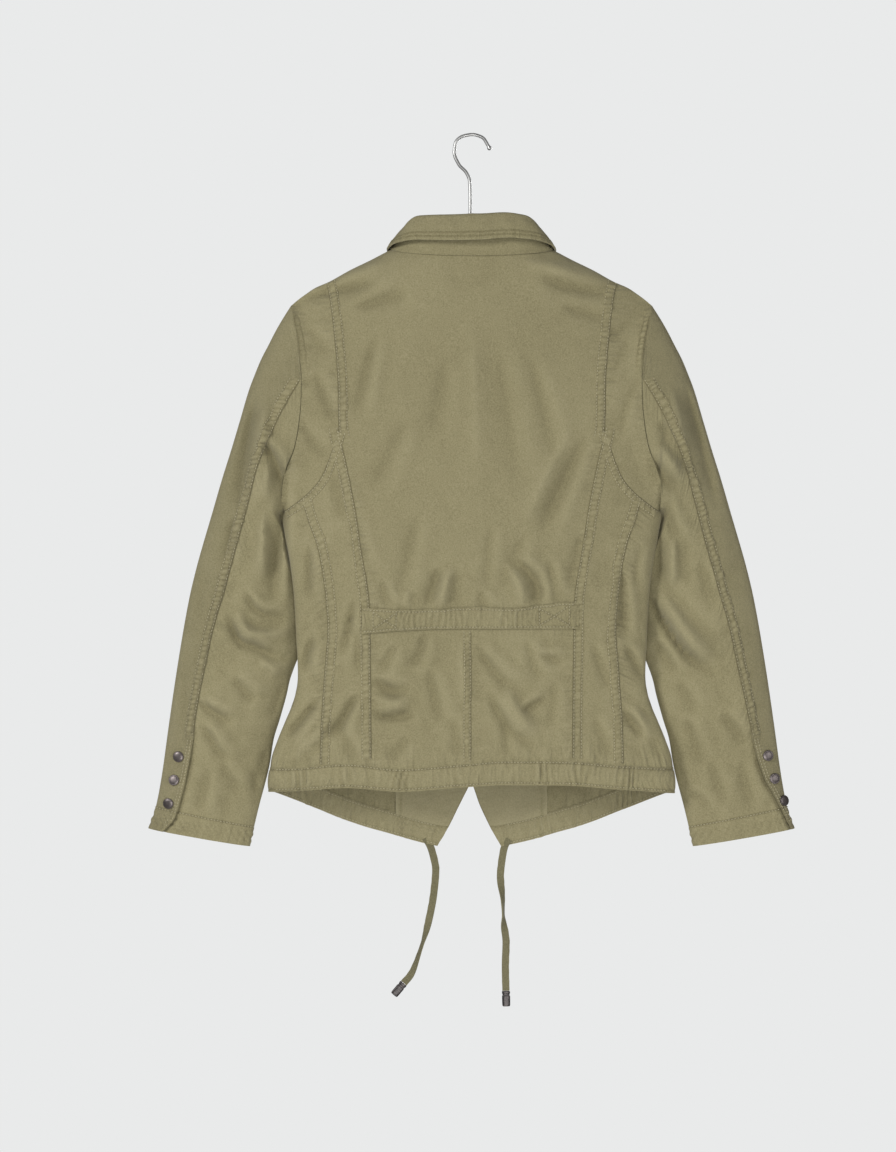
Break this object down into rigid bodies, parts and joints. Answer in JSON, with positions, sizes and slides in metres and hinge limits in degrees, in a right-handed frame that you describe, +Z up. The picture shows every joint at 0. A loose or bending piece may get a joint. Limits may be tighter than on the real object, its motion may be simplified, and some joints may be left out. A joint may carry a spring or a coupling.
{
  "type": "jacket on a hanger",
  "caption": "Women's light twill jacket with a half belt, drawcord hem and snapped cuff vents, hung from a wire hook.",
  "frame": {"origin": "under the crown of the hook, where the rail carries it", "axes": "+Z up, along the hanging jacket; +X towards the wearer's right; +Y towards the front of the jacket, so that its back faces -Y"},
  "size_m": [0.712, 0.0948, 0.9664],
  "materials": {
    "twill": "washed olive cotton twill, matte",
    "tape": "dark olive flat woven tape",
    "gunmetal": "antique gunmetal plating, satin",
    "steel": "brushed",
    "bar": "matte"
  },
  "bodies": {
    "root": {"back_centre": "twill", "belt": "twill", "collar_fall": "twill", "collar_stand": "twill", "hem_back": "twill", "back_lower_left": "twill", "shoulder_side_left": "twill", "side_back_left": "twill", "side_left": "twill", "front_left": "twill", "facing_left": "twill", "hem_front_left": "twill", "sleeve_upper_left": "twill", "sleeve_under_left": "twill", "drawcord_left": "tape", "aglet_left": "gunmetal", "cuff_snap_left_1": "gunmetal", "cuff_snap_left_2": "gunmetal", "cuff_snap_left_3": "gunmetal", "back_lower_right": "twill", "shoulder_side_right": "twill", "side_back_right": "twill", "side_right": "twill", "front_right": "twill", "facing_right": "twill", "hem_front_right": "twill", "sleeve_upper_right": "twill", "sleeve_under_right": "twill", "drawcord_right": "tape", "aglet_right": "gunmetal", "cuff_snap_right_1": "gunmetal", "cuff_snap_right_2": "gunmetal", "cuff_snap_right_3": "gunmetal", "front_snap_1": "gunmetal", "front_snap_2": "gunmetal", "front_snap_3": "gunmetal", "front_snap_4": "gunmetal", "front_snap_5": "gunmetal", "hanger_hook": "steel", "hanger_bar": "bar"}
  },
  "joints": []
}
